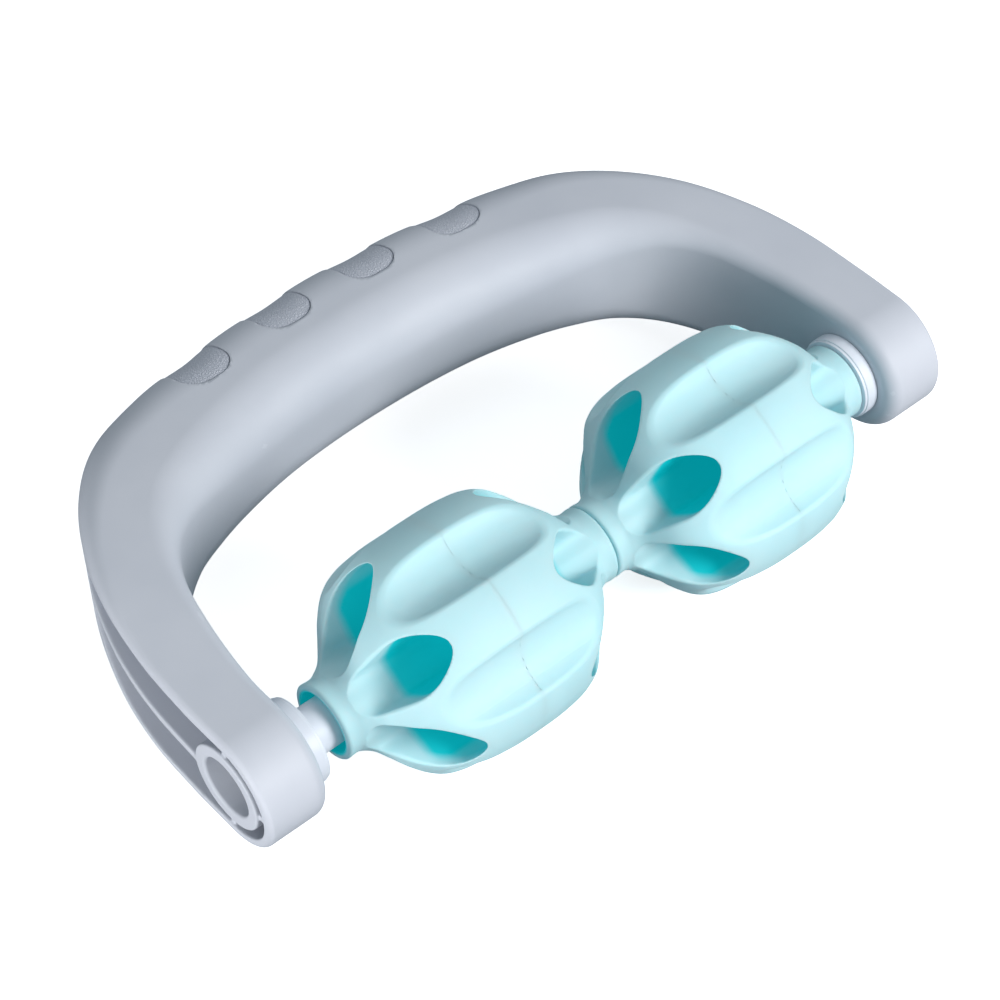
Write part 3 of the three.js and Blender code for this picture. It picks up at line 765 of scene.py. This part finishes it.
def build_sleeve(side, white):
    low, high = cad_box_mm(f"{side}_roller_sleeve")
    inside = TUBE_RADIUS + SLEEVE_CLEARANCE
    corners = [(low[0], inside, EASED), (low[0], SLEEVE_RADIUS, ROUNDED), (high[0], SLEEVE_RADIUS, ROUNDED),
               (high[0], inside, EASED)]
    build_turned(f"{side}_roller_sleeve_moulding", corners, white, f"{side}_sleeve", f"{side}_roller_sleeve")


def build_rod(steel):
    """Rod with a rolled thread and a chamfer at both ends."""
    end = cad_box_mm("axle_rod")[1][0]
    thread_start = end - THREAD_LENGTH
    thread = np.arange(thread_start, end - ROD_END_ROUND, THREAD_PITCH / ROWS_PER_PITCH)
    plain_end = thread_start - ROD_PLAIN_GAP
    xs = np.concatenate([-thread[::-1], np.linspace(-plain_end, plain_end, ROD_PLAIN_ROWS), thread])
    turns = np.arange(ROD_SEGMENTS) * (2 * math.pi / ROD_SEGMENTS)
    phase = np.mod(xs[:, None] / THREAD_PITCH - turns[None, :] / (2 * math.pi), 1)
    groove = THREAD_SLOPE * np.abs(phase - 0.5)
    on_thread = np.clip((np.abs(xs) - thread_start) / THREAD_RUN_OUT, 0, 1)[:, None]
    chamfer = np.full((1, ROD_SEGMENTS), ROD_RADIUS - ROD_END_CHAMFER)
    radius = np.vstack([chamfer, ROD_RADIUS - ROD_SET_IN - groove * on_thread, chamfer])
    x_rows = np.repeat(np.concatenate([[-end], xs, [end]])[:, None], ROD_SEGMENTS, 1)
    rings = np.stack([x_rows, radius * np.cos(turns), radius * np.sin(turns)], -1).reshape(-1, 3)
    points = np.vstack([rings, [[-end, 0, 0], [end, 0, 0]]])
    last = len(rings) - ROD_SEGMENTS
    faces = []
    for i in range(ROD_SEGMENTS):
        j = (i + 1) % ROD_SEGMENTS
        for row in range(0, last, ROD_SEGMENTS):
            next_row = row + ROD_SEGMENTS
            faces.append((row + j, next_row + j, next_row + i, row + i))
        faces.append((i, len(points) - 2, j))
        faces.append((last + j, len(points) - 1, last + i))
    piece = new_piece("axle_rod_threaded", points, faces, steel, "frame", "axle_rod")
    piece.data.set_sharp_from_angle(angle=ROD_SHARP)


def build_axle(white, steel):
    build_tube(white)
    for side in ("left", "right"):
        build_bush(side, white)
        build_washer(side, steel)
        build_nut(side, steel)
        build_sleeve(side, white)
    build_rod(steel)


# ---- Materials ----
NOISE_LOW, NOISE_HIGH = 0.3, 0.7  # most of a noise lies between these
PLASTIC_IOR = 1.46
ROLLER_IOR = 1.42


def srgb(text):
    """Linear colour from a hexadecimal sRGB one."""
    values = [int(text[k:k + 2], 16) / 255 for k in (0, 2, 4)]
    return [v / 12.92 if v <= 0.04045 else ((v + 0.055) / 1.055) ** 2.4 for v in values] + [1]


class Shader:
    """Small helper that adds nodes to a new material."""

    def __init__(self, name):
        self.material = bpy.data.materials.new(name)
        self.material.use_nodes = True
        self.tree = self.material.node_tree
        self.surface = self.tree.nodes["Principled BSDF"]
        self.coordinates = self.add("ShaderNodeTexCoord").outputs["Object"]

    def add(self, kind, **inputs):
        node = self.tree.nodes.new(kind)
        for name, value in inputs.items():
            self.put(node.inputs[name.replace("_", " ")], value)
        return node

    def put(self, socket, value):
        if isinstance(value, bpy.types.NodeSocket):
            self.tree.links.new(value, socket)
        else:
            socket.default_value = value

    def set(self, **inputs):
        """Sets or links inputs of the surface."""
        for name, value in inputs.items():
            self.put(self.surface.inputs[name.replace("_", " ")], value)

    def noise(self, scale, detail, roughness=0.5):
        return self.add("ShaderNodeTexNoise", Vector=self.coordinates, Scale=scale, Detail=detail,
                        Roughness=roughness).outputs["Fac"]

    def spread(self, value, low, high, out_low, out_high):
        """Maps value's low..high to out_low..out_high."""
        limits = {"From_Min": low, "From_Max": high, "To_Min": out_low, "To_Max": out_high}
        return self.add("ShaderNodeMapRange", Value=value, **limits).outputs["Result"]

    def wander(self, low, high, scale, detail):
        """Number that wanders between low and high."""
        return self.spread(self.noise(scale, detail), NOISE_LOW, NOISE_HIGH, low, high)

    def mix(self, factor, a, b):
        node = self.add("ShaderNodeMix")
        node.data_type = "RGBA"
        for socket, value in zip((node.inputs["Factor"], node.inputs[6], node.inputs[7]), (factor, a, b)):
            self.put(socket, value)
        return node.outputs[2]

    def mottle(self, a, b, scale, detail):
        """Colour that wanders between two."""
        return self.mix(self.wander(0, 1, scale, detail), srgb(a), srgb(b))

    def bump(self, height, distance, strength, normal=None):
        """Normal bent by a height, over a distance in metres and on top of another normal."""
        node = self.add("ShaderNodeBump", Height=height, Distance=distance, Strength=strength)
        if normal is not None:
            self.put(node.inputs["Normal"], normal)
        return node.outputs["Normal"]


def handle_plastic():
    """Satin moulded plastic: faint mottling, a fine spark texture and slightly paler edges, partly painted
    highlight and partly wear.
    """
    s = Shader("handle_plastic")
    mottle = s.mottle("c5c8d1", "cfd1d9", scale=26, detail=4)
    # Painted edge highlight and wear: convex edges paler by pointiness.
    edge = s.spread(s.add("ShaderNodeNewGeometry").outputs["Pointiness"], 0.515, 0.56, 0, 0.35)
    s.set(Base_Color=s.mix(edge, mottle, srgb("dddfe6")))
    s.set(Roughness=s.wander(0.50, 0.60, scale=90, detail=4), IOR=PLASTIC_IOR)
    wave = s.bump(s.noise(scale=38, detail=2), distance=0.00006, strength=0.5)
    spark = s.noise(scale=2600, detail=2, roughness=0.6)
    s.set(Normal=s.bump(spark, distance=0.000012, strength=0.6, normal=wave))
    return s.material


def pad_plastic():
    """The same plastic with a pebbled leather grain."""
    s = Shader("pad_plastic")
    cells = s.add("ShaderNodeTexVoronoi", Vector=s.coordinates, Scale=1500.0)
    cells.feature = "DISTANCE_TO_EDGE"
    pebble = s.spread(cells.outputs["Distance"], 0.0, 0.32, 0, 1)
    s.set(Base_Color=s.mix(pebble, srgb("c2c5d0"), srgb("d4d6df")))
    s.set(Roughness=s.spread(pebble, 0, 1, 0.68, 0.52))
    fine = s.bump(s.noise(scale=900, detail=3), distance=0.00008, strength=0.7)
    s.set(Normal=s.bump(pebble, distance=0.00014, strength=0.9, normal=fine))
    return s.material


def roller_plastic():
    """Pale aqua satin plastic, with a painted teal shade and a painted teal glow deep in its pockets and
    bore, standing in for the light bounced between their walls.
    """
    s = Shader("roller_plastic")
    mottle = s.mottle("b7e0e6", "c0e4e9", scale=30, detail=3)
    attribute = s.add("ShaderNodeAttribute")
    attribute.attribute_name = "hollow"
    hollow = attribute.outputs["Fac"]
    # Painted shade: deep teal mixed in by the hollow attribute; painted glow: teal emission by the same
    # attribute.
    s.set(Base_Color=s.mix(hollow, mottle, srgb("00b2ba")))
    s.set(Emission_Color=srgb("00dce4"), Emission_Strength=s.spread(hollow, 0, 1, 0, 0.2))
    s.set(Roughness=s.wander(0.5, 0.6, scale=120, detail=4), IOR=ROLLER_IOR)
    wave = s.bump(s.noise(scale=45, detail=2), distance=0.00004, strength=0.4)
    s.set(Normal=s.bump(s.noise(scale=2400, detail=2), distance=0.000008, strength=0.5, normal=wave))
    s.set(Subsurface_Weight=0.25, Subsurface_Radius=(0.4, 1.0, 1.1), Subsurface_Scale=0.003)
    return s.material


def white_plastic():
    """Smooth cool white plastic of the axle's parts."""
    s = Shader("axle_plastic")
    s.set(Base_Color=s.mottle("dee2eb", "e6e9f1", scale=60, detail=3))
    s.set(Roughness=s.wander(0.36, 0.46, scale=300, detail=4), IOR=PLASTIC_IOR)
    s.set(Normal=s.bump(s.noise(scale=2000, detail=2), distance=0.000008, strength=0.5))
    return s.material


def plated_steel():
    """Zinc-plated steel, brushed around the axle."""
    s = Shader("plated_steel")
    stretch = s.add("ShaderNodeMapping", Vector=s.coordinates)
    stretch.inputs["Scale"].default_value = (6000, 300, 300)
    streaks = s.add("ShaderNodeTexNoise", Vector=stretch.outputs["Vector"], Scale=1.0, Detail=4.0)
    brushed = streaks.outputs["Fac"]
    s.set(Base_Color=s.mix(s.noise(scale=500, detail=3), srgb("a9adb2"), srgb("c6cace")))
    s.set(Metallic=1.0, Roughness=s.spread(brushed, NOISE_LOW, NOISE_HIGH, 0.26, 0.42))
    s.set(Normal=s.bump(brushed, distance=0.00001, strength=0.4))
    return s.material


# ---- Stage ----
FLOOR_HALF = 6.0  # metres
PAPER_GLOW = 0.75  # lifts the paper to white for the camera alone
WORLD_COLOUR = (0.82, 0.93, 1, 1)
WORLD_STRENGTH = 0.41
LAMPS = [  # name, direction from the object, distance and side in metres, watts
    ("key", (0.3, -0.8, 0.46), 0.66, 0.24, 3.4),
    ("left_fill", (-1, -0.3, 0.12), 0.4, 0.1, 0.7),
    ("back_fill", (0.3, 1, 0.7), 0.9, 0.5, 0.5),
]
VIEW_AZIMUTH, VIEW_ELEVATION, VIEW_ROLL = (math.radians(v) for v in (-39.48, 48.16, -1.48))
VIEW_TARGET = (-24.3, 0, 35.3)  # millimetres from the middle of the axle
VIEW_DISTANCE = 0.633  # metres
LENS, SENSOR = 103.3, 36
CLIP_START = 0.01


def aim(holder, way):
    """Turns a lamp or camera to look along a direction."""
    holder.rotation_mode = "QUATERNION"
    holder.rotation_quaternion = way.to_track_quat("-Z", "Y")


def area_light(name, direction, distance, size, power):
    """Square lamp that looks at the middle of the object from a direction, in metres and watts."""
    lamp = bpy.data.lights.new(name, "AREA")
    lamp.shape = "SQUARE"
    lamp.size = size
    lamp.energy = power
    holder = bpy.data.objects.new(name, lamp)
    way = Vector(direction).normalized()
    holder.location = MIDDLE + way * distance
    aim(holder, -way)
    bpy.context.scene.collection.objects.link(holder)


def build_floor():
    """Plain pale paper, white to the camera and grey to the light that it throws back."""
    mesh = bpy.data.meshes.new("floor")
    corners = [(-FLOOR_HALF, -FLOOR_HALF, 0), (FLOOR_HALF, -FLOOR_HALF, 0), (FLOOR_HALF, FLOOR_HALF, 0),
               (-FLOOR_HALF, FLOOR_HALF, 0)]
    mesh.from_pydata(corners, [], [(0, 1, 2, 3)])
    s = Shader("floor_paper")
    seen = s.add("ShaderNodeLightPath").outputs["Is Camera Ray"]
    paper = s.mix(s.noise(scale=40, detail=3), srgb("f4f4f5"), srgb("f8f8f9"))
    s.set(Base_Color=s.mix(seen, srgb("8a9096"), paper), Roughness=0.9)
    s.set(Emission_Color=srgb("ffffff"), Emission_Strength=s.spread(seen, 0, 1, 0, PAPER_GLOW))
    mesh.materials.append(s.material)
    floor = bpy.data.objects.new("floor", mesh)
    bpy.context.scene.collection.objects.link(floor)


def build_stage():
    build_floor()
    world = bpy.data.worlds.new("studio")
    world.use_nodes = True
    background = world.node_tree.nodes["Background"]
    background.inputs["Color"].default_value = WORLD_COLOUR
    background.inputs["Strength"].default_value = WORLD_STRENGTH
    bpy.context.scene.world = world
    for lamp in LAMPS:
        area_light(*lamp)
    bpy.context.scene.view_settings.view_transform = "Standard"


def build_camera():
    """Camera that sees the object from the front left and above."""
    level = math.cos(VIEW_ELEVATION)
    back = Vector((math.sin(VIEW_AZIMUTH) * level, -math.cos(VIEW_AZIMUTH) * level, math.sin(VIEW_ELEVATION)))
    camera = bpy.data.cameras.new("camera")
    camera.sensor_width = SENSOR
    camera.lens = LENS
    camera.clip_start = CLIP_START
    holder = bpy.data.objects.new("camera", camera)
    holder.location = AXLE + Vector(VIEW_TARGET) * MM + back * VIEW_DISTANCE
    aim(holder, -back)
    holder.rotation_quaternion = holder.rotation_quaternion @ Quaternion((0, 0, 1), VIEW_ROLL)
    bpy.context.scene.collection.objects.link(holder)
    bpy.context.scene.camera = holder


build_handle(handle_plastic())
build_pads(pad_plastic())
build_rollers(roller_plastic())
build_axle(white_plastic(), plated_steel())
build_stage()
build_camera()
